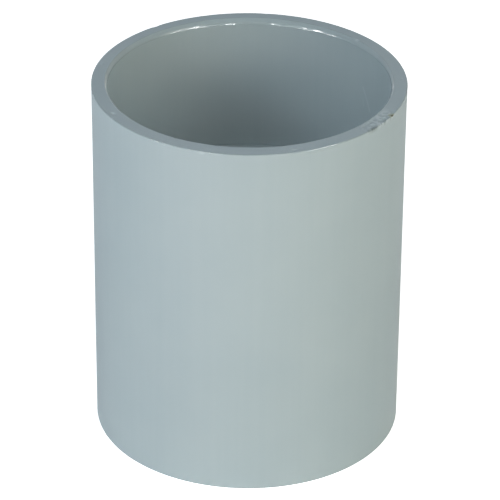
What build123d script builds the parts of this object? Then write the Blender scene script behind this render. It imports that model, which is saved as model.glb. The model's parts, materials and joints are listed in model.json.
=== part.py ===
from build123d import *
import os

# Reducing coupling for solvent-cemented rigid PVC pipe, 4 in by 3 in, standing on its smaller end.
# A cut length of tube is the body, and its upper end is the larger socket. A bushing is cemented
# into a seat bored in its lower end: the bushing's upper face stops the larger pipe, its cone leads
# from the larger waterway to the smaller one, and its lower end is the smaller socket.
# Millimetres, +Z up along the bore, origin at the centre of the lower face.

# ---- driving dimensions: the two pipes
upper_pipe_radius = 57.15  # outside of a 4 in pipe
upper_pipe_wall = 6.02
lower_pipe_radius = 44.45  # outside of a 3 in pipe
lower_pipe_wall = 5.49
pipe_clearance = 0.20  # pipe to socket wall, filled by the cement

# ---- driving dimensions: the coupling
coupling_length = 155.0
sleeve_wall = 6.65  # at the upper socket
upper_socket_depth = 59.0
lower_socket_depth = 48.0

# ---- driving dimensions: the seat that holds the bushing
seat_shoulder = 0.80  # how much wider than the upper socket the seat is bored
seat_clearance = 0.05  # film of cement between the bushing and its seat
bushing_nose_chamfer = 0.40  # smaller than the shoulder, so that the bushing still bears on it

# ---- driving dimensions: inside the bushing, and edge breaks
mouth_land = 6.0  # straight stretch of waterway above the cone
throat_land = 7.0  # straight stretch of waterway below the cone
mouth_round = 1.0
throat_round = 0.6
entry_bevel_depth = 2.0  # lead-in at each socket's mouth, along the bore
entry_bevel_width = 1.1  # and across it
arris_break = 0.35  # outer corners, left by the saw and a scraper

# ---- sizes that follow
upper_socket_radius = upper_pipe_radius + pipe_clearance
lower_socket_radius = lower_pipe_radius + pipe_clearance
outer_radius = upper_socket_radius + sleeve_wall
seat_radius = upper_socket_radius + seat_shoulder
bushing_radius = seat_radius - seat_clearance
bushing_length = coupling_length - upper_socket_depth
upper_waterway_radius = upper_pipe_radius - upper_pipe_wall
lower_waterway_radius = lower_pipe_radius - lower_pipe_wall
cone_top = bushing_length - mouth_land
cone_bottom = lower_socket_depth + throat_land

os.makedirs("parts", exist_ok=True)


# ---- the sleeve: a tube sawn to length, bored wider from below as far as the shoulder
with BuildPart() as coupling_sleeve:
    with BuildSketch(Plane.XY):
        Circle(outer_radius)
        Circle(upper_socket_radius, mode=Mode.SUBTRACT)
    extrude(amount=coupling_length)

    with BuildSketch(Plane.XY):
        Circle(seat_radius)
    extrude(amount=bushing_length, mode=Mode.SUBTRACT)

    end_faces = coupling_sleeve.faces().filter_by(GeomType.PLANE).sort_by(Axis.Z)
    for end_face in (end_faces[0], end_faces[-1]):
        mouth_edge = end_face.edges().filter_by(GeomType.CIRCLE).sort_by(SortBy.RADIUS)[0]
        chamfer(mouth_edge, entry_bevel_width, entry_bevel_depth, reference=end_face)

    outer_edges = coupling_sleeve.edges().filter_by(GeomType.CIRCLE).group_by(SortBy.RADIUS)[-1]
    chamfer(outer_edges, arris_break)


# ---- the bushing: one turned profile, its radius measured along local X and its height along local Y
with BuildPart() as reducer_bushing:
    with BuildSketch(Plane.XZ):
        with BuildLine():
            Polyline(
                (lower_socket_radius, 0),
                (bushing_radius, 0),
                (bushing_radius, bushing_length),
                (upper_waterway_radius, bushing_length),
                (upper_waterway_radius, cone_top),
                (lower_waterway_radius, cone_bottom),
                (lower_waterway_radius, lower_socket_depth),
                (lower_socket_radius, lower_socket_depth),
                close=True,
            )
        make_face()
    revolve(axis=Axis.Z)

    flat_faces = reducer_bushing.faces().filter_by(GeomType.PLANE).sort_by(Axis.Z)
    lower_face, socket_floor, upper_face = flat_faces[0], flat_faces[1], flat_faces[-1]
    socket_mouth, foot_corner = lower_face.edges().sort_by(SortBy.RADIUS)
    throat_corner = socket_floor.edges().sort_by(SortBy.RADIUS)[0]
    mouth_corner, nose_corner = upper_face.edges().sort_by(SortBy.RADIUS)
    chamfer(socket_mouth, entry_bevel_width, entry_bevel_depth, reference=lower_face)
    chamfer(foot_corner, arris_break)
    chamfer(nose_corner, bushing_nose_chamfer)
    fillet(mouth_corner, mouth_round)
    fillet(throat_corner, throat_round)


coupling_sleeve.part.label = "coupling_sleeve"
export_step(coupling_sleeve.part, "parts/coupling_sleeve.step")
reducer_bushing.part.label = "reducer_bushing"
export_step(reducer_bushing.part, "parts/reducer_bushing.step")
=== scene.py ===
"""Looks of a solvent-cement reducing coupling: a sawn length of PVC tube with a moulded PVC bushing in it.

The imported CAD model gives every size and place. Each piece is a turned profile carried round the bore's axis,
worked out as whole arrays, and then marked by a saw, a scraper and some handling. Lengths inside the classes are in
millimetres and angles in degrees, counted from +X towards +Y. The bushing below its upper face and the wear on the
back are guesses, and the lamps and the mouth's bevel are fitted to look right.
"""

import json
import logging
import math
from dataclasses import dataclass
from enum import Enum, IntEnum

import bpy
import numpy as np
from mathutils import Matrix, Vector
from numpy.typing import NDArray


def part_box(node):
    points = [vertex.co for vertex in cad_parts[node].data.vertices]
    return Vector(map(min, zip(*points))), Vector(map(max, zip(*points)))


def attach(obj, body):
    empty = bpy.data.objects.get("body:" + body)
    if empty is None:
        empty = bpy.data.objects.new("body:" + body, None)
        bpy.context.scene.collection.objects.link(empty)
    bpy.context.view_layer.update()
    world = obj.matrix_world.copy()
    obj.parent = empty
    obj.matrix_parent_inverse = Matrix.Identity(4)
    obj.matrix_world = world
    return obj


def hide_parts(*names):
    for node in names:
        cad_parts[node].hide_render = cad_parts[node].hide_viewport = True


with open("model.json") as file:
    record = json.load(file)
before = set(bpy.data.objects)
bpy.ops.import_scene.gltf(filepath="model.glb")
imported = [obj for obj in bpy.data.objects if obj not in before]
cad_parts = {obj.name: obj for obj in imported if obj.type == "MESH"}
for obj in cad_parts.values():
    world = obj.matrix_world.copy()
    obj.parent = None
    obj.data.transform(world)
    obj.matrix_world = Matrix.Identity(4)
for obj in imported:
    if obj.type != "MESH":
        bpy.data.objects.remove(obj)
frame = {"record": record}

Array = NDArray[np.float64]
Edge = tuple[float | Array, float | Array]
LOG = logging.getLogger("reducing_coupling")
MM = 0.001
SEAT_CLEARANCE = 0.05
ENTRY_BEVEL = 2.0


# ---------------------------------------------------------------- colour and nodes


def linear(code: str) -> tuple[float, float, float, float]:
    """Turns an sRGB hex colour into the linear colour that a shader socket takes.

    Args:
        code: six hex digits after a hash, such as "#aebbbe".

    Returns:
        Red, green, blue and an alpha of one.
    """
    shares = (int(code[i : i + 2], 16) / 255 for i in (1, 3, 5))
    red, green, blue = (s / 12.92 if s <= 0.04045 else ((s + 0.055) / 1.055) ** 2.4 for s in shares)
    return red, green, blue, 1.0


def add_node(
    tree: bpy.types.NodeTree, kind: str, settings: dict | None = None, **inputs: object
) -> bpy.types.Node:
    """Adds one node, sets its properties, and fills or links its inputs.

    Args:
        tree: the node tree that gets the node.
        kind: the node's Blender type, such as "ShaderNodeTexNoise".
        settings: property names and values of the node itself.
        **inputs: one entry for each input, named as the socket with underscores for spaces, or in{number}.
            A socket is linked, and anything else is set as the value.

    Returns:
        The new node.
    """
    node = tree.nodes.new(kind)
    for name, value in (settings or {}).items():
        setattr(node, name, value)
    for name, value in inputs.items():
        place = int(name[2:]) if name[:2] == "in" and name[2:].isdigit() else name.replace("_", " ")
        socket = node.inputs[place]
        if isinstance(value, bpy.types.NodeSocket):
            tree.links.new(value, socket)
        else:
            socket.default_value = value
    return node


# ---------------------------------------------------------------- materials


class Rub(Enum):
    """The attributes of a mesh, from 0 to 1: how its surface was bruised, and how much darker it is drawn."""

    BRUISE = "bruise"
    DARKENING = "grime"


@dataclass(frozen=True)
class Mark:
    """A scuff line: where it starts and ends, in millimetres, how wide it is and how much it shows."""

    start: tuple[float, float, float]
    end: tuple[float, float, float]
    width: float
    strength: float = 0.5


@dataclass(frozen=True)
class RigidPvc:
    """Unplasticised PVC, pigmented light grey: an opaque, slightly waxy plastic with an IOR of 1.53.

    How the surface was made sets its gloss and its fine relief, and the pigment stays the same.
    """

    name: str
    colour: str = "#adbabd"
    clouded: str = "#a8b6ba"
    bruised: str = "#c6d0d4"
    darkened: str = "#66706c"
    ior: float = 1.53
    roughness: float = 0.42
    roughness_swing: float = 0.04
    gloss: float = 0.35
    streak_across: float = 3.0
    streak_along: float = 180.0
    streak_share: float = 0.35
    cloud_size: float = 35.0
    grain: tuple[float, float, float] = (0.9, 0.9, 0.9)
    grain_height: float = 0.006
    speck: tuple[float, float, float] | None = None
    speck_radius: float = 1.25
    halo_reach: float = 2.0
    halo_share: float = 0.6
    speck_halo: str = "#a9ab8e"
    speck_colour: str = "#3d3a22"
    marks: tuple[Mark, ...] = ()

    def build(self) -> bpy.types.Material:
        """Builds the material's nodes.

        Drawn streaks are noise stretched along the bore's axis, so that they run as the melt ran. The grain is a
        finer noise that drives a bump and a small swing of the gloss. Bruises lighten the pigment, and the
        darkening attribute darkens it.

        Returns:
            The material.
        """
        material = bpy.data.materials.new(self.name)
        material.use_nodes = True
        tree = material.node_tree
        tree.nodes.clear()
        place = add_node(tree, "ShaderNodeTexCoord").outputs["Object"]
        streaks = self.noise(tree, place, (self.streak_across, self.streak_across, self.streak_along), 3.0)
        clouds = self.noise(tree, place, (self.cloud_size,) * 3, 2.0)
        grain = self.noise(tree, place, self.grain, 2.0)
        patchy = add_node(tree, "ShaderNodeMix", in0=self.streak_share, in2=clouds, in3=streaks).outputs[0]
        spread = self.ramp(tree, patchy, (0.3, 0.7), (0.0, 1.0))
        colour = self.blend(tree, spread, linear(self.colour), linear(self.clouded))
        bruise = add_node(tree, "ShaderNodeAttribute", {"attribute_name": Rub.BRUISE.value}).outputs["Fac"]
        for mark in self.marks:
            bruise = self.scuff(tree, place, mark, bruise)
        colour = self.blend(tree, bruise, colour, linear(self.bruised))
        # The darkening attribute darkens the pigment where the sleeve sets it, in its torn patch's low lumps and
        # outer edge.
        grime = add_node(tree, "ShaderNodeAttribute", {"attribute_name": Rub.DARKENING.value}).outputs["Fac"]
        colour = self.blend(tree, grime, colour, linear(self.darkened))
        if self.speck:
            halo = self.spot(tree, place, self.halo_reach, self.halo_share)
            colour = self.blend(tree, halo, colour, linear(self.speck_halo))
            colour = self.blend(tree, self.spot(tree, place, 1.0, 1.0), colour, linear(self.speck_colour))
        swing = (self.roughness - self.roughness_swing, self.roughness + self.roughness_swing)
        bump = add_node(tree, "ShaderNodeBump", Strength=1.0, Distance=self.grain_height * MM, Height=grain)
        shader = add_node(
            tree,
            "ShaderNodeBsdfPrincipled",
            Base_Color=colour,
            Roughness=self.ramp(tree, grain, (0.25, 0.75), swing),
            Normal=bump.outputs["Normal"],
            IOR=self.ior,
            Specular_IOR_Level=self.gloss,
        )
        add_node(tree, "ShaderNodeOutputMaterial", Surface=shader.outputs["BSDF"])
        return material

    def noise(
        self,
        tree: bpy.types.NodeTree,
        place: bpy.types.NodeSocket,
        size: tuple[float, float, float],
        detail: float,
    ) -> bpy.types.NodeSocket:
        """Gives noise whose lumps measure the given millimetres along X, Y and Z.

        Args:
            tree: the material's node tree.
            place: the surface point.
            size: the lumps' sizes.
            detail: how many finer layers are added.

        Returns:
            The noise, from 0 to 1, as a socket.
        """
        scale = tuple(1 / (s * MM) for s in size)
        scaled = add_node(tree, "ShaderNodeMapping", Vector=place, Scale=scale).outputs["Vector"]
        return add_node(
            tree, "ShaderNodeTexNoise", Vector=scaled, Scale=1.0, Detail=detail, Roughness=0.55
        ).outputs["Fac"]

    def ramp(
        self,
        tree: bpy.types.NodeTree,
        value: bpy.types.NodeSocket,
        taken: tuple[float, float],
        given: tuple[float, float],
        kind: str = "LINEAR",
    ) -> bpy.types.NodeSocket:
        """Maps a value from one range to another and holds it inside the new one.

        Args:
            tree: the material's node tree.
            value: what is mapped.
            taken: the range it comes from.
            given: the range it goes to.
            kind: how it runs between the ends.

        Returns:
            The new value, as a socket.
        """
        return add_node(
            tree,
            "ShaderNodeMapRange",
            {"interpolation_type": kind},
            Value=value,
            From_Min=taken[0],
            From_Max=taken[1],
            To_Min=given[0],
            To_Max=given[1],
        ).outputs["Result"]

    def blend(
        self, tree: bpy.types.NodeTree, share: bpy.types.NodeSocket, under: object, over: object
    ) -> bpy.types.NodeSocket:
        """Lays one colour over another by a share from 0 to 1."""
        mix = add_node(tree, "ShaderNodeMix", {"data_type": "RGBA"}, in0=share, in6=under, in7=over)
        return mix.outputs[2]

    def spot(
        self, tree: bpy.types.NodeTree, place: bpy.types.NodeSocket, size: float, most: float
    ) -> bpy.types.NodeSocket:
        """Finds the share of a small burnt speck: its most at the middle, falling to 0 at its edge.

        Args:
            tree: the material's node tree.
            place: the surface point.
            size: how many times the speck's radius to reach.
            most: the share at the middle.

        Returns:
            The share, as a socket.
        """
        centre = tuple(c * MM for c in self.speck)
        away = add_node(tree, "ShaderNodeVectorMath", {"operation": "DISTANCE"}, in0=place, in1=centre)
        reach = size * self.speck_radius * MM
        return self.ramp(tree, away.outputs["Value"], (0.45 * reach, reach), (most, 0.0), "SMOOTHSTEP")

    def scuff(
        self, tree: bpy.types.NodeTree, place: bpy.types.NodeSocket, mark: Mark, under: bpy.types.NodeSocket
    ) -> bpy.types.NodeSocket:
        """Adds a scuff line to a share, by the distance from the surface point to the line from start to end.

        The point's offset from the start, projected on the line and held between its ends, gives the nearest point
        of the line. The share falls from its most on the line to 0 at the mark's width.

        Args:
            tree: the material's node tree.
            place: the surface point.
            mark: the line, its width and its strength.
            under: the share so far.

        Returns:
            The larger of both shares, as a socket.
        """
        start, end = Vector(mark.start) * MM, Vector(mark.end) * MM
        line = end - start
        per_length = tuple(line / line.length_squared)
        offset = add_node(tree, "ShaderNodeVectorMath", {"operation": "SUBTRACT"}, in0=place, in1=tuple(start))
        offset = offset.outputs["Vector"]
        run = add_node(tree, "ShaderNodeVectorMath", {"operation": "DOT_PRODUCT"}, in0=offset, in1=per_length)
        held = self.ramp(tree, run.outputs["Value"], (0.0, 1.0), (0.0, 1.0))
        along = add_node(tree, "ShaderNodeVectorMath", {"operation": "SCALE"}, in0=tuple(line), Scale=held)
        along = along.outputs["Vector"]
        away = add_node(tree, "ShaderNodeVectorMath", {"operation": "DISTANCE"}, in0=offset, in1=along)
        share = self.ramp(tree, away.outputs["Value"], (0.0, mark.width * MM), (mark.strength, 0.0), "SMOOTHSTEP")
        return add_node(tree, "ShaderNodeMath", {"operation": "MAXIMUM"}, in0=under, in1=share).outputs[0]


# ---------------------------------------------------------------- turned surfaces


def straight(start: Edge, end: Edge, steps: int, crowding: float = 0.0) -> Array:
    """Lays points along a straight line, closer together near its ends as crowding goes to 1.

    The point at share s of the steps lies at s less crowding times sin(2 pi s) / (2 pi) of the way. Where an edge's
    radius or height differs round the axis, it is an array over the angles, and so are the points.

    Args:
        start: radius and height where the line starts.
        end: radius and height where it ends, which is left to the next stretch.
        steps: how many points.
        crowding: 0 for even points, up to 1.

    Returns:
        Points, with radius and height in the last axis and the steps in the one before.
    """
    share = np.arange(steps) / steps
    share = (share - crowding * np.sin(2 * np.pi * share) / (2 * np.pi))[:, None]
    first, last = (np.stack(np.broadcast_arrays(*edge), -1)[..., None, :] for edge in (start, end))
    return first + share * (last - first)


def corner(start: Edge, peak: Edge, end: Edge, steps: int) -> Array:
    """Rounds a corner between two lines that meet at its peak.

    The curve is the parabola that leaves start towards the peak and meets end coming from it: the point at share s
    is (1 - s)^2 start + 2 s (1 - s) peak + s^2 end.

    Args:
        start: radius and height where the rounding starts.
        peak: where the two lines would meet.
        end: where the rounding ends, which is left to the next stretch.
        steps: how many points.

    Returns:
        Points, as straight gives them.
    """
    share = (np.arange(steps) / steps)[:, None]
    first, top, last = (np.stack(np.broadcast_arrays(*edge), -1)[..., None, :] for edge in (start, peak, end))
    return (1 - share) ** 2 * first + 2 * share * (1 - share) * top + share**2 * last


def between(start: Edge, end: Edge, length: float) -> Edge:
    """Gives the point that lies a length from start on the way to end.

    Args:
        start: radius and height to start from.
        end: radius and height to go towards.
        length: how far to go.

    Returns:
        The radius and height of the point.
    """
    run, rise = end[0] - start[0], end[1] - start[1]
    share = length / np.hypot(run, rise)
    return start[0] + share * run, start[1] + share * rise


def turns(around: int) -> Array:
    """Gives evenly spaced angles in a full turn, in radians."""
    return np.arange(around) * (2 * np.pi / around)


@dataclass
class TurnedSurface:
    """A closed profile carried once round the bore's axis: the point at angle u and profile place v.

    angle: the angles u, in radians, as a column.
    radius, height: the profile, one row for each angle and one column for each place.
    region: what each place belongs to.
    """

    angle: Array
    radius: Array
    height: Array
    region: NDArray[np.int32]

    @classmethod
    def of(cls, stretches: list[tuple[int, Array]], around: int) -> "TurnedSurface":
        """Joins stretches of profile into one closed profile.

        Args:
            stretches: pairs of region and points, in order, with the solid on the left hand.
            around: how many angles.

        Returns:
            The surface.
        """
        rows = [np.broadcast_to(p, (around, *p.shape[-2:])) for _, p in stretches]
        points = np.concatenate(rows, axis=1)
        region = np.concatenate([np.full(p.shape[-2], name, np.int32) for name, p in stretches])
        return cls(turns(around)[:, None], points[..., 0].copy(), points[..., 1].copy(), region)

    def on(self, *regions: int) -> NDArray[np.bool_]:
        """Says which places belong to any of the regions."""
        return np.isin(self.region, regions)

    def mesh(self, name: str, slots: dict[int, int], rubs: dict[Rub, Array]) -> bpy.types.Object:
        """Makes the mesh of a grid that closes on itself both ways.

        A point is (radius cos angle, radius sin angle, height). The face after angle i and place j has the corners
        (i, j), (i + 1, j), (i + 1, j + 1) and (i, j + 1), counted round, which turns it outwards.

        Args:
            name: the piece's name.
            slots: the material slot of each region.
            rubs: attributes, one value for each grid point.

        Returns:
            The piece, at the origin, with its place in its mesh.
        """
        around, places = self.radius.shape
        flat = self.radius * np.cos(self.angle), self.radius * np.sin(self.angle), self.height
        points = np.stack(flat, axis=-1) * MM
        i, j = np.meshgrid(np.arange(around), np.arange(places), indexing="ij")
        after_i, after_j = (i + 1) % around, (j + 1) % places
        ring = (i * places + j, after_i * places + j, after_i * places + after_j, i * places + after_j)
        corners = np.stack(ring, -1).astype(np.int32)
        finish = np.array([slots[int(r)] for r in self.region], np.int32)
        data = bpy.data.meshes.new(name)
        data.vertices.add(around * places)
        data.vertices.foreach_set("co", points.astype(np.float32).ravel())
        data.loops.add(corners.size)
        data.loops.foreach_set("vertex_index", corners.ravel())
        data.polygons.add(around * places)
        data.polygons.foreach_set("loop_start", np.arange(0, corners.size, 4, dtype=np.int32))
        data.polygons.foreach_set("material_index", np.tile(finish, around))
        data.polygons.foreach_set("use_smooth", np.ones(around * places, bool))
        for rub, values in rubs.items():
            layer = data.attributes.new(rub.value, "FLOAT", "POINT")
            layer.data.foreach_set("value", np.clip(values, 0, 1).astype(np.float32).ravel())
        data.update(calc_edges=True)
        data.validate()
        piece = bpy.data.objects.new(name, data)
        bpy.context.scene.collection.objects.link(piece)
        return piece


def ripple(angle: Array, waves: range, seed: int) -> Array:
    """Sums cosines round the axis, each with a whole number of waves and its own phase, scaled to -1 to 1.

    Args:
        angle: where to work it out, in radians.
        waves: the numbers of waves in a turn.
        seed: what the phases and sizes are drawn from.

    Returns:
        The sum at each angle.
    """
    draw = np.random.default_rng(seed)
    total = np.zeros_like(angle)
    for count in waves:
        total += draw.uniform(0.3, 1.0) * np.cos(count * angle + draw.uniform(0, 2 * np.pi))
    return total / np.abs(total).max()


def lumps(across: Array, along: Array, size: float, seed: int) -> Array:
    """Smooth noise over a plane: random heights on a square lattice, joined by an eased blend of the four nearest.

    Args:
        across: the first coordinate.
        along: the second coordinate.
        size: the lattice's pitch.
        seed: what the heights are drawn from.

    Returns:
        Heights from 0 to 1.
    """
    side = 64
    lattice = np.random.default_rng(seed).random((side, side))
    x, y = across / size, along / size
    left, low = np.floor(x).astype(int), np.floor(y).astype(int)
    fx, fy = x - left, y - low
    fx, fy = fx * fx * (3 - 2 * fx), fy * fy * (3 - 2 * fy)
    near = lattice[left % side, low % side] * (1 - fx) + lattice[(left + 1) % side, low % side] * fx
    far = lattice[left % side, (low + 1) % side] * (1 - fx) + lattice[(left + 1) % side, (low + 1) % side] * fx
    return near * (1 - fy) + far * fy


def turn_from(angle: Array, degrees: float) -> Array:
    """Gives the signed angle from a direction, in radians, the short way round."""
    return np.angle(np.exp(1j * (angle - math.radians(degrees))))


@dataclass(frozen=True)
class Chip:
    """A bite out of an edge: its middle, how far it reaches along, across and down, and how deep it goes."""

    degrees: float
    radius: float
    height: float
    along: float
    across: float
    down: float
    depth: float

    def bite(self, turned: TurnedSurface) -> Array:
        """Works out how deep the chip is at each point.

        With q the distance from the chip's middle, measured in its own reaches, the depth is its most times
        (1 - q^2) ^ 0.7 where q is under 1, so the chip has a definite rim and a dished floor.

        Args:
            turned: the surface that is chipped.

        Returns:
            The depth at each point.
        """
        q = (
            (turn_from(turned.angle, self.degrees) * self.radius / self.along) ** 2
            + ((turned.radius - self.radius) / self.across) ** 2
            + ((turned.height - self.height) / self.down) ** 2
        )
        return self.depth * np.clip(1 - q, 0, None) ** 0.7


# ---------------------------------------------------------------- the pieces


@dataclass(frozen=True)
class ScrapedMouth:
    """The mouth's bevel: its mean width, how far it is off centre, its hand's wave, and its two facets.

    The facets' numbers are shares of the width. The seeds draw the waves.
    """

    width: float = 1.05
    off_centre: float = 0.75
    wave: float = 0.07
    wave_seed: int = 5
    lower_width: float = 0.222
    lower_wave: float = 0.2
    lower_seed: int = 12
    upper_drop: float = 0.70
    drop: float = 1.20
    eased_drop: float = 1.30
    eased_width: float = 1.15


@dataclass(frozen=True)
class TornPatch:
    """The patch that the saw tore: where it lies, how far it reaches, its lumps, and the dark line at its edge."""

    degrees: float = -33.5
    half_degrees: float = 10.5
    reach_down: float = 1.1
    inner_margin: float = 0.8
    coarse: float = 1.0
    fine: float = 0.6
    pit_depth: float = 0.34
    edge_calm: float = 0.7
    line_degrees: float = -40.0
    line_half_degrees: float = 2.8


class Tube(IntEnum):
    """The stretches of the sleeve's profile."""

    WALL = 0
    ARRIS = 1
    END = 2
    MOUTH = 3
    BORE = 4
    SEAT = 5
    FOOT = 6
    FOOT_EDGE = 7


@dataclass
class CouplingSleeve:
    """The outer sleeve: tube sawn to length, scraped at its mouths, and bored out below for the bushing."""

    length: float
    outer_radius: float
    socket_radius: float
    socket_depth: float
    seat_radius: float
    shrink: float = 0.12
    flare_height: float = 5.0
    flare_uneven: float = 0.45
    flare_degrees: float = -10.0
    wall_split: float = 14.0
    shrink_margin: float = 2.5
    mouth: ScrapedMouth = ScrapedMouth()
    torn: TornPatch = TornPatch()
    speck_degrees: float = -27.3
    speck_inset: float = 0.1
    speck_depth: float = 0.9
    bevel_depth: float = 2.0
    bevel_width: float = 1.1
    arris: float = 0.4
    shoulder_break: float = 0.3
    die_lines: float = 0.02
    around: int = 1200

    @property
    def floor(self) -> float:
        """The height of the shoulder that the bushing bears on."""
        return self.length - self.socket_depth

    def surface(self) -> TurnedSurface:
        """Draws the sleeve's profile: up the wall, in over the sawn end, down the bore and out over the foot.

        The mouth's bevel is off centre: its width is the mean plus the off-centre part times the sine of the angle,
        widest towards +Y, with a small wave of the hand. It has two facets, and the lower one is the steeper.

        Returns:
            The surface.
        """
        angle, cut = turns(self.around), self.mouth
        r_out, r_in, r_seat, top = self.outer_radius, self.socket_radius, self.seat_radius, self.length
        a, b, d = self.arris, self.shoulder_break, self.bevel_depth
        wave = cut.wave * ripple(angle, range(5, 19), cut.wave_seed)
        width = cut.width + cut.off_centre * np.sin(angle) + wave
        lower_wave = cut.lower_wave * ripple(angle, range(17, 60), cut.lower_seed)
        inset = cut.lower_width * width * (1 + lower_wave)
        lip, ridge = (r_in + width, top), (r_in + inset, top - cut.upper_drop * width)
        root, root_end = (r_in, top - cut.drop * width), (r_in, top - cut.eased_drop * width)
        lip_start, lip_end = (r_in + cut.eased_width * width, top), between(lip, ridge, 0.2 * width)
        ridge_start, ridge_end = between(ridge, lip, 0.08 * width), between(ridge, root, 0.05 * width)
        root_start = between(root, ridge, 0.05 * width)
        foot_lip = (r_seat + self.bevel_width, 0.0)
        return TurnedSurface.of(
            [
                (Tube.WALL, straight((r_out, a), (r_out, top - self.wall_split), 7, 0.9)),
                (Tube.WALL, straight((r_out, top - self.wall_split), (r_out, top - a), 7, 0.3)),
                (Tube.ARRIS, corner((r_out, top - a), (r_out, top), (r_out - a, top), 5)),
                (Tube.END, straight((r_out - a, top), lip_start, 17, 0.2)),
                (Tube.MOUTH, corner(lip_start, lip, lip_end, 4)),
                (Tube.MOUTH, straight(lip_end, ridge_start, 2)),
                (Tube.MOUTH, corner(ridge_start, ridge, ridge_end, 2)),
                (Tube.MOUTH, straight(ridge_end, root_start, 4)),
                (Tube.MOUTH, corner(root_start, root, root_end, 3)),
                (Tube.BORE, straight(root_end, (r_in, self.floor + b), 8, 0.95)),
                (Tube.BORE, corner((r_in, self.floor + b), (r_in, self.floor), (r_in + b, self.floor), 2)),
                (Tube.SEAT, straight((r_in + b, self.floor), (r_seat, self.floor), 1)),
                (Tube.SEAT, straight((r_seat, self.floor), (r_seat, d), 2)),
                (Tube.FOOT_EDGE, straight((r_seat, d), foot_lip, 3)),
                (Tube.FOOT, straight(foot_lip, (r_out - a, 0.0), 8, 0.2)),
                (Tube.ARRIS, corner((r_out - a, 0.0), (r_out, 0.0), (r_out, a), 4)),
            ],
            self.around,
        )

    def chips(self) -> list[Chip]:
        """Lists the bites out of the sawn ends and their edges."""
        out, inner, top = self.outer_radius, self.socket_radius, self.length
        return [
            Chip(-27.3, out, top, 1.0, 0.9, 1.0, 0.25),
            Chip(-32.0, out, top, 0.9, 0.7, 0.6, 0.12),
            Chip(-36.0, out, top, 1.2, 0.9, 0.6, 0.10),
            Chip(-38.8, out, top, 1.3, 0.9, 0.6, 0.16),
            Chip(-41.7, out, top, 1.1, 0.8, 0.8, 0.16),
            Chip(-73.2, out - 2.0, top, 1.5, 0.8, 0.5, 0.28),
            Chip(-77.3, out - 1.9, top, 0.8, 0.6, 0.4, 0.20),
            Chip(-70.2, out - 2.3, top, 0.7, 0.5, 0.4, 0.18),
            Chip(-106.4, out, top, 1.0, 0.5, 0.5, 0.25),
            Chip(-150.9, out - 2.3, top, 1.5, 1.0, 0.5, 0.40),
            Chip(-148.2, out, top, 1.3, 0.5, 0.6, 0.28),
            Chip(2.8, out - 1.7, top, 0.9, 0.6, 0.4, 0.22),
            Chip(0.8, out - 3.2, top, 0.7, 0.6, 0.4, 0.18),
            Chip(128.0, out, top, 2.0, 0.6, 0.7, 0.30),
            Chip(166.6, out - 1.9, top, 1.3, 0.8, 0.4, 0.24),
            Chip(84.0, out, top, 1.1, 0.5, 0.5, 0.25),
            Chip(113.0, inner, top - 1.8, 0.9, 0.5, 0.7, 0.16),
            Chip(66.5, inner, top - 1.8, 1.0, 0.5, 0.7, 0.14),
            Chip(41.0, inner + 1.5, top, 1.2, 0.6, 0.6, 0.25),
            Chip(-120.0, inner + 0.5, top, 0.9, 0.4, 0.5, 0.18),
            Chip(118.0, out, 0.0, 1.8, 0.6, 0.8, 0.30),
            Chip(62.0, out, 0.0, 1.5, 0.6, 0.7, 0.28),
        ]

    def torn_patch(self, turned: TurnedSurface) -> tuple[Array, Array]:
        """Works out the torn patch that the saw left where it broke through the wall.

        The patch lies across the end between two angles and fades at both. Two layers of lumps make its relief.
        The same lumps, where they stand high, are bruised pale, and where they lie low they are drawn darker, most
        near the outer edge, where a darker line also runs between two angles.

        Args:
            turned: the sleeve's surface.

        Returns:
            The share of tearing, and the lumps, at each point.
        """
        torn = self.torn
        turn = turn_from(turned.angle, torn.degrees) / math.radians(torn.half_degrees)
        fade = np.clip(1.6 * (1 - turn**2), 0, 1)
        near_top = np.clip(1 - (self.length - turned.height) / torn.reach_down, 0, 1)
        outside = np.clip((turned.radius - self.socket_radius - torn.inner_margin) / 1.0, 0, 1)
        arc = turned.angle * self.outer_radius
        coarse, fine = lumps(arc, turned.radius, torn.coarse, 4), lumps(arc, turned.radius, torn.fine, 9)
        field = 0.6 * coarse + 0.4 * fine
        return fade * near_top * outside, field

    def build(self) -> bpy.types.Object:
        """Builds the sleeve.

        The wall lies a little inside the sawn end's radius, by the shrink, and comes out to it over the last few
        millimetres on an exponential of the flare height. The wall carries die lines, ripples of whole waves round
        the axis. Chips push points down and in.

        Returns:
            The dressed piece.
        """
        turned = self.surface()
        angle, height = turned.angle, turned.height.copy()
        outer = turned.on(Tube.WALL, Tube.ARRIS, Tube.END, Tube.FOOT)
        inner = self.socket_radius + self.shrink_margin
        share = np.clip((turned.radius - inner) / (self.outer_radius - inner), 0, 1)
        uneven = 0.5 * (1 - np.cos(angle - math.radians(self.flare_degrees)))
        flare = (1 - self.flare_uneven * uneven) * np.exp(-(self.length - height) / self.flare_height)
        turned.radius -= self.shrink * (1 - flare) * share * outer
        lines = 0.6 * ripple(angle, range(9, 60), 21) + 0.4 * ripple(angle, range(60, 190), 22)
        turned.radius -= self.die_lines * 0.5 * (1 + lines) * turned.on(Tube.WALL)
        bore_lines = ripple(angle, range(7, 90), 23)
        below_mouth = np.clip((self.length - height - 2.5) / 3.0, 0, 1)
        deep = below_mouth * np.clip((height - self.floor - 0.4) / 2.0, 0, 1)
        turned.radius += self.die_lines * 0.4 * (1 + bore_lines) * deep * turned.on(Tube.BORE)
        depth = sum(chip.bite(turned) for chip in self.chips())
        torn, field = self.torn_patch(turned)
        inwards = np.sign(0.5 * (self.outer_radius + self.socket_radius) - turned.radius)
        from_top = np.where(height > 0.5 * self.length, -1.0, 1.0)
        pits = torn * np.clip((0.62 - field) / 0.35, 0, 1)
        turned.radius += inwards * 0.45 * depth
        edge = np.clip((turned.radius - self.outer_radius + 1.6) / 1.2, 0, 1)
        turned.height += from_top * 0.9 * depth - self.torn.pit_depth * pits * (1 - self.torn.edge_calm * edge)
        bruise = np.clip(1.3 * depth, 0, 0.6) + 1.0 * torn * np.clip((field - 0.52) / 0.2, 0, 1)
        from_line = np.abs(turn_from(angle, self.torn.line_degrees))
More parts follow.
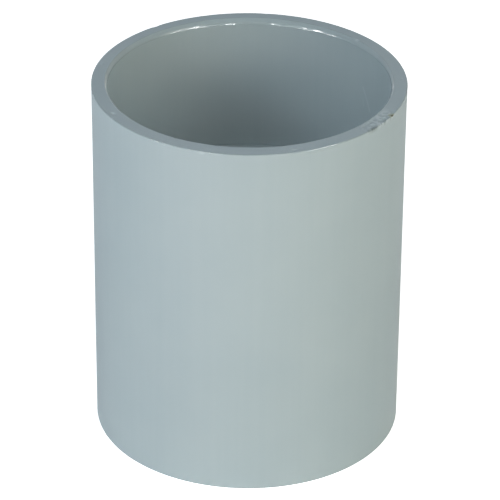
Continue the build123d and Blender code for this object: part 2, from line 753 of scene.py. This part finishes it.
        line = np.clip(1.5 - from_line / math.radians(self.torn.line_half_degrees), 0, 1)
        # Drawn darkening: in the patch's low lumps, most near the outer edge, and along a line at the outer edge.
        grime = torn * (0.5 * edge * line + (0.12 + 0.3 * edge) * np.clip((0.5 - field) / 0.2, 0, 1))
        slots = {Tube.WALL: 0, Tube.BORE: 0, Tube.SEAT: 0, Tube.END: 1, Tube.FOOT: 1}
        slots |= {Tube.ARRIS: 2, Tube.MOUTH: 2, Tube.FOOT_EDGE: 2}
        piece = turned.mesh("sleeve_body", slots, {Rub.BRUISE: bruise, Rub.DARKENING: grime})
        self.dress(piece)
        return piece

    def dress(self, piece: bpy.types.Object) -> None:
        """Gives the sleeve its three finishes and its place on the body, and hides the CAD node that it stands for.

        Args:
            piece: the sleeve.
        """
        at = math.radians(self.speck_degrees)
        out = self.outer_radius - self.speck_inset
        speck = (out * math.cos(at), out * math.sin(at), self.length - self.speck_depth)
        marks = (
            self.bore_mark((34.4, 19.0), (29.0, 27.6), 1.0, 0.32),
            self.bore_mark((34.4, 24.0), (33.8, 27.0), 0.7, 0.2),
        )
        # Extruded skin: the die leaves it semi-gloss, with faint streaks along the tube.
        skin = RigidPvc("extruded_pvc_skin", marks=marks)
        # Sawn face: the cut scatters light, so it looks matt. It has no gloss at all, so that the strip lamps don't
        # whiten it from behind, and a paler pigment, which is painted sheen that makes up for the gloss taken away.
        # Its scratches are drawn coarser than a blade leaves them.
        sawn = RigidPvc(
            "sawn_pvc_end",
            colour="#b6c2c6",
            clouded="#b1bec3",
            roughness=0.62,
            roughness_swing=0.08,
            gloss=0.0,
            streak_share=0.1,
            grain=(5.0, 0.6, 0.6),
            grain_height=0.03,
            speck=speck,
        )
        # Scraped edge: the scraper burnishes the plastic, so that it flashes where it turns to a lamp. Its pigment
        # is darker than the tube's, a painted shade that tones down the light that the bevel catches.
        scraped = RigidPvc(
            "scraped_pvc_edge",
            colour="#a2afb2",
            clouded="#9dabaf",
            roughness=0.12,
            roughness_swing=0.02,
            gloss=0.22,
            grain_height=0.002,
            speck=speck,
        )
        for finish in (skin, sawn, scraped):
            piece.data.materials.append(finish.build())
        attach(piece, "root")
        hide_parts("coupling_sleeve")

    def bore_mark(
        self, start: tuple[float, float], end: tuple[float, float], width: float, strength: float
    ) -> Mark:
        """Places a scuff on the bore's wall.

        Args:
            start: where it starts, as an angle and a depth below the mouth.
            end: where it ends, the same way.
            width: how far from its line it fades out.
            strength: how much it shows.

        Returns:
            The mark.
        """
        ends = []
        for degrees, depth in (start, end):
            a = math.radians(degrees)
            across, towards = self.socket_radius * math.cos(a), self.socket_radius * math.sin(a)
            ends.append((across, towards, self.length - depth))
        return Mark(ends[0], ends[1], width, strength)


class Ring(IntEnum):
    """The stretches of the bushing's profile."""

    OUTSIDE = 0
    FACE = 1
    WATERWAY = 2
    SOCKET = 3
    FOOT = 4


@dataclass
class ReducerBushing:
    """The bushing: a thick moulded ring that stops the larger pipe, with a cone down to the smaller socket."""

    height: float
    radius: float
    upper_socket_radius: float
    socket_radius: float
    socket_depth: float
    upper_pipe_wall: float = 6.02
    lower_pipe_wall: float = 5.49
    pipe_clearance: float = 0.20
    mouth_land: float = 6.0
    throat_land: float = 7.0
    mouth_round: float = 1.0
    throat_round: float = 0.6
    bevel_depth: float = 2.0
    bevel_width: float = 1.1
    nose: float = 0.4
    arris: float = 0.35
    pin_radius: float = 3.5
    pin_count: int = 6
    pin_depth: float = 0.12
    pin_slope: float = 0.35
    sink: float = 0.03
    cone_ease: float = 1.5
    socket_fillet: float = 0.4
    around: int = 900

    def surface(self) -> TurnedSurface:
        """Draws the bushing's profile: up its outside, in over its face, down the waterway, out over its foot.

        Returns:
            The surface.
        """
        r_out, top, a, n = self.radius, self.height, self.arris, self.nose
        r_mouth = self.upper_socket_radius - self.pipe_clearance - self.upper_pipe_wall
        r_throat = self.socket_radius - self.pipe_clearance - self.lower_pipe_wall
        r_sock, floor = self.socket_radius, self.socket_depth
        m, t, ease, f = self.mouth_round, self.throat_round, self.cone_ease, self.socket_fillet
        cone_top, cone_low = (r_mouth, top - self.mouth_land), (r_throat, floor + self.throat_land)
        above, below = (r_mouth, cone_top[1] + ease), (r_throat, cone_low[1] - ease)
        cone_start, cone_end = between(cone_top, cone_low, ease), between(cone_low, cone_top, ease)
        lip = (r_sock + self.bevel_width, 0.0)
        return TurnedSurface.of(
            [
                (Ring.OUTSIDE, straight((r_out, a), (r_out, top - n), 3)),
                (Ring.FACE, corner((r_out, top - n), (r_out, top), (r_out - n, top), 3)),
                (Ring.FACE, straight((r_out - n, top), (r_mouth + m, top), 8, 0.8)),
                (Ring.FACE, corner((r_mouth + m, top), (r_mouth, top), (r_mouth, top - m), 6)),
                (Ring.WATERWAY, straight((r_mouth, top - m), above, 3)),
                (Ring.WATERWAY, corner(above, cone_top, cone_start, 4)),
                (Ring.WATERWAY, straight(cone_start, cone_end, 8, 0.6)),
                (Ring.WATERWAY, corner(cone_end, cone_low, below, 4)),
                (Ring.WATERWAY, straight(below, (r_throat, floor + t), 3, 0.5)),
                (Ring.WATERWAY, corner((r_throat, floor + t), (r_throat, floor), (r_throat + t, floor), 4)),
                (Ring.SOCKET, straight((r_throat + t, floor), (r_sock - f, floor), 5, 0.8)),
                (Ring.SOCKET, corner((r_sock - f, floor), (r_sock, floor), (r_sock, floor - f), 3)),
                (Ring.SOCKET, straight((r_sock, floor - f), (r_sock, self.bevel_depth), 7, 0.9)),
                (Ring.FOOT, straight((r_sock, self.bevel_depth), lip, 3, 0.5)),
                (Ring.FOOT, straight(lip, (r_out - a, 0.0), 30)),
                (Ring.FOOT, corner((r_out - a, 0.0), (r_out, 0.0), (r_out, a), 3)),
            ],
            self.around,
        )

    def pin_prints(self, turned: TurnedSurface) -> Array:
        """Works out the round prints that the mould's ejector pins leave in the lower face.

        The distance to the nearest pin's middle, less the pin's radius, goes through a steep step.

        Args:
            turned: the bushing's surface.

        Returns:
            1 inside a print, 0 outside, with a short slope between.
        """
        circle = 0.5 * (self.radius + self.socket_radius + self.bevel_width)
        pitch = 2 * np.pi / self.pin_count
        turn = (turned.angle + 0.5 * pitch) % pitch - 0.5 * pitch
        away = np.hypot(turned.radius * np.cos(turn) - circle, turned.radius * np.sin(turn))
        return np.clip((self.pin_radius - away) / self.pin_slope + 0.5, 0, 1)

    def build(self) -> bpy.types.Object:
        """Builds the bushing. Its lower face carries ejector prints, and its moulded walls sink very slightly.

        Returns:
            The dressed piece.
        """
        turned = self.surface()
        flat_foot = turned.on(Ring.FOOT) * (turned.height < 0.01)
        turned.height += self.pin_depth * self.pin_prints(turned) * flat_foot
        sink = self.sink * (1 + ripple(turned.angle, range(2, 12), 31))
        turned.radius += sink * turned.on(Ring.WATERWAY)
        nothing = np.zeros_like(turned.radius)
        slots = {Ring.OUTSIDE: 0, Ring.FACE: 0, Ring.WATERWAY: 1, Ring.SOCKET: 1, Ring.FOOT: 0}
        piece = turned.mesh("bushing_body", slots, {Rub.BRUISE: nothing, Rub.DARKENING: nothing})
        self.dress(piece)
        return piece

    def dress(self, piece: bpy.types.Object) -> None:
        """Gives the bushing its two moulded finishes and its place on the body, and hides the CAD node that it
        stands for.

        Args:
            piece: the bushing.
        """
        # Moulded faces: the tool's turned steel leaves them a little glossier than the tube, with no streaks.
        pigment = {"colour": "#a7b4b7", "clouded": "#a1afb3", "streak_share": 0.0}
        face = RigidPvc("moulded_pvc_face", roughness=0.38, **pigment)
        # Moulded waterway: polished steel, so smoother still.
        water = RigidPvc("moulded_pvc_waterway", roughness=0.3, **pigment)
        for finish in (face, water):
            piece.data.materials.append(finish.build())
        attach(piece, "root")
        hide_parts("reducer_bushing")


# ---------------------------------------------------------------- the studio


@dataclass
class SoftBox:
    """A rectangular soft lamp that stands round the object and faces its middle.

    Azimuth 0 stands in front of the object, at -Y, and 90 at +X. Metres, degrees and watts.
    """

    name: str
    azimuth: float
    elevation: float
    distance: float
    width: float
    height: float
    power: float
    colour: str
    gloss_only: bool = False

    def build(self, target: Vector) -> None:
        """Makes the lamp.

        Args:
            target: the point that the lamp faces.
        """
        data = bpy.data.lights.new(self.name, "AREA")
        data.shape = "RECTANGLE"
        data.size, data.size_y = self.width, self.height
        data.energy = self.power
        data.color = linear(self.colour)[:3]
        lamp = bpy.data.objects.new(self.name, data)
        bpy.context.scene.collection.objects.link(lamp)
        a, e = math.radians(self.azimuth), math.radians(self.elevation)
        away = Vector((math.sin(a) * math.cos(e), -math.cos(a) * math.cos(e), math.sin(e)))
        ahead = -away
        right = ahead.cross(Vector((0, 0, 1))).normalized()
        up = right.cross(ahead)
        columns = Matrix((right, up, away)).transposed()
        lamp.matrix_world = Matrix.Translation(target + away * self.distance) @ columns.to_4x4()
        lamp.visible_diffuse = not self.gloss_only


@dataclass
class Studio:
    """A pale floor, a white surround, soft lamps and the camera."""

    middle: Vector
    width: float
    camera_distance_widths: float = 10.553
    elevation: float = 29.589
    aim_right: float = 0.0407
    aim_down: float = 0.0406
    roll: float = 0.4865
    lens: float = 233.84
    floor_size: float = 6.0
    floor_gap: float = 0.00005
    ambient: float = 0.04
    ambient_colour: str = "#9fb4ff"
    floor_colour: str = "#f9f9f9"
    floor_glow: float = 0.8
    floor_in_gloss: float = 0.25
    world_in_gloss: float = 1.0

    def camera(self) -> None:
        """Stands the camera in front of the object and above it, rolled slightly anticlockwise."""
        elevation, pan = math.radians(self.elevation), math.radians(self.aim_right)
        tilt, roll = elevation + math.radians(self.aim_down), math.radians(self.roll)
        back = Vector((0.0, -math.cos(elevation), math.sin(elevation)))
        ahead = Vector((math.sin(pan) * math.cos(tilt), math.cos(pan) * math.cos(tilt), -math.sin(tilt)))
        right = ahead.cross(Vector((0, 0, 1))).normalized()
        down = ahead.cross(right)
        turned_right = right * math.cos(roll) - down * math.sin(roll)
        turned_down = right * math.sin(roll) + down * math.cos(roll)
        data = bpy.data.cameras.new("camera")
        data.sensor_width, data.lens = 36.0, self.lens
        data.clip_start, data.clip_end = 0.05, 50.0
        camera = bpy.data.objects.new("camera", data)
        bpy.context.scene.collection.objects.link(camera)
        columns = Matrix((turned_right, -turned_down, -ahead)).transposed()
        place = self.middle + back * self.camera_distance_widths * self.width
        camera.matrix_world = Matrix.Translation(place) @ columns.to_4x4()
        bpy.context.scene.camera = camera

    def shown(self, tree: bpy.types.NodeTree, in_gloss: float) -> bpy.types.NodeSocket:
        """Finds how much of the backdrop's white a ray gets: all for the camera, and a share in a gloss.

        Args:
            tree: the backdrop's node tree.
            in_gloss: the share that a gloss shows.

        Returns:
            The share, as a socket.
        """
        path = add_node(tree, "ShaderNodeLightPath").outputs
        clear = add_node(
            tree,
            "ShaderNodeMath",
            {"operation": "MAXIMUM"},
            in0=path["Is Camera Ray"],
            in1=path["Is Transmission Ray"],
        ).outputs[0]
        gloss = add_node(
            tree, "ShaderNodeMath", {"operation": "MULTIPLY"}, in0=path["Is Glossy Ray"], in1=in_gloss
        ).outputs[0]
        return add_node(tree, "ShaderNodeMath", {"operation": "MAXIMUM"}, in0=clear, in1=gloss).outputs[0]

    def floor(self) -> None:
        """Lays a pale floor that keeps the object's shadow.

        Seen by the camera or in a gloss it glows a little, so that its lit part is white and its shade stays pale.
        Everything else meets a plain pale surface.
        """
        half, low = self.floor_size / 2, -self.floor_gap
        data = bpy.data.meshes.new("floor")
        square = [(-half, -half, low), (half, -half, low), (half, half, low), (-half, half, low)]
        data.from_pydata(square, [], [(0, 1, 2, 3)])
        floor = bpy.data.objects.new("floor", data)
        bpy.context.scene.collection.objects.link(floor)
        material = bpy.data.materials.new("pale_floor")
        material.use_nodes = True
        tree = material.node_tree
        tree.nodes.clear()
        seen = self.shown(tree, in_gloss=self.floor_in_gloss)
        matt = add_node(tree, "ShaderNodeBsdfDiffuse", Color=linear(self.floor_colour))
        glow = add_node(tree, "ShaderNodeEmission", Color=(1, 1, 1, 1), Strength=self.floor_glow)
        lit = add_node(tree, "ShaderNodeAddShader", in0=matt.outputs[0], in1=glow.outputs[0])
        both = add_node(
            tree, "ShaderNodeMixShader", in0=seen, in1=matt.outputs[0], in2=lit.outputs[0]
        )
        add_node(tree, "ShaderNodeOutputMaterial", Surface=both.outputs[0])
        data.materials.append(material)

    def surround(self) -> None:
        """Sets the world: white to the camera, and a soft even light for the surfaces."""
        world = bpy.data.worlds.new("surround")
        bpy.context.scene.world = world
        world.use_nodes = True
        tree = world.node_tree
        tree.nodes.clear()
        seen = self.shown(tree, in_gloss=self.world_in_gloss)
        soft = add_node(tree, "ShaderNodeBackground", Color=linear(self.ambient_colour), Strength=self.ambient)
        white = add_node(tree, "ShaderNodeBackground", Color=(1, 1, 1, 1), Strength=1.0)
        both = add_node(
            tree, "ShaderNodeMixShader", in0=seen, in1=soft.outputs[0], in2=white.outputs[0]
        )
        add_node(tree, "ShaderNodeOutputWorld", Surface=both.outputs[0])

    def lamps(self) -> list[SoftBox]:
        """Lists the lamps: soft ones round the front, one behind, and two low strips that only show in a gloss.

        The strips draw the bright lines along the burnished edge of the mouth. No real lamp lights glosses alone.

        Returns:
            The lamps.
        """
        return [
            SoftBox("left_high", -61.0, 40.0, 1.6, 1.0, 0.9, 10.5, "#e6f4ff"),
            SoftBox("right_high", 60.0, 40.0, 1.6, 1.0, 0.9, 7.8, "#fbfffb"),
            SoftBox("front_high", 0.0, 40.0, 1.6, 1.0, 0.9, 2.5, "#ffe8cf"),
            SoftBox("left_front", -35.0, 14.0, 1.6, 0.8, 0.7, 4.2, "#f4fffb"),
            SoftBox("right_front", 60.0, 14.0, 1.6, 0.8, 0.7, 5.6, "#fffde4"),
            SoftBox("front_low", -22.0, -9.0, 0.35, 0.5, 0.05, 0.22, "#fff3ee"),
            SoftBox("back_low", 180.0, 8.0, 1.6, 1.2, 0.4, 2.5, "#ffffff"),
            SoftBox("left_strip", -45.0, 15.0, 1.6, 1.6, 0.2, 60.0, "#ffffff", gloss_only=True),
            SoftBox("right_strip", 37.0, 15.0, 1.6, 1.6, 0.22, 78.0, "#ffffff", gloss_only=True),
        ]

    def build(self) -> None:
        """Makes the whole studio and sets a plain view transform."""
        self.camera()
        self.floor()
        self.surround()
        for lamp in self.lamps():
            lamp.build(self.middle)
        bpy.context.scene.view_settings.view_transform = "Standard"


# ---------------------------------------------------------------- making


def mount_size(name: str) -> tuple[float, float]:
    """Reads a bore mount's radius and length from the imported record, in millimetres."""
    dims = next(m["dims"] for m in frame["record"]["mounts"] if m["name"] == name)
    return dims["r_mm"], dims["length_mm"]


def main() -> None:
    """Builds the pieces and the studio."""
    logging.basicConfig(level=logging.INFO, format="%(name)s: %(message)s")
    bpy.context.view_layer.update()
    low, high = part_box("coupling_sleeve")
    bushing_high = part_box("reducer_bushing")[1]
    upper_radius, _ = mount_size("upper_socket")
    lower_radius, lower_wall = mount_size("lower_socket")
    length, bushing_height = (high.z - low.z) / MM, bushing_high.z / MM
    bushing_radius = bushing_high.x / MM
    sleeve = CouplingSleeve(
        length=length,
        outer_radius=high.x / MM,
        socket_radius=upper_radius,
        socket_depth=length - bushing_height,
        seat_radius=bushing_radius + SEAT_CLEARANCE,
    )
    bushing = ReducerBushing(
        height=bushing_height,
        radius=bushing_radius,
        upper_socket_radius=upper_radius,
        socket_radius=lower_radius,
        socket_depth=lower_wall + ENTRY_BEVEL,
    )
    for part in (sleeve, bushing):
        piece = part.build()
        LOG.info("%s: %d faces, rides on root", piece.name, len(piece.data.polygons))
    Studio(middle=(low + high) / 2, width=high.x - low.x).build()


if __name__ == "__main__":
    main()
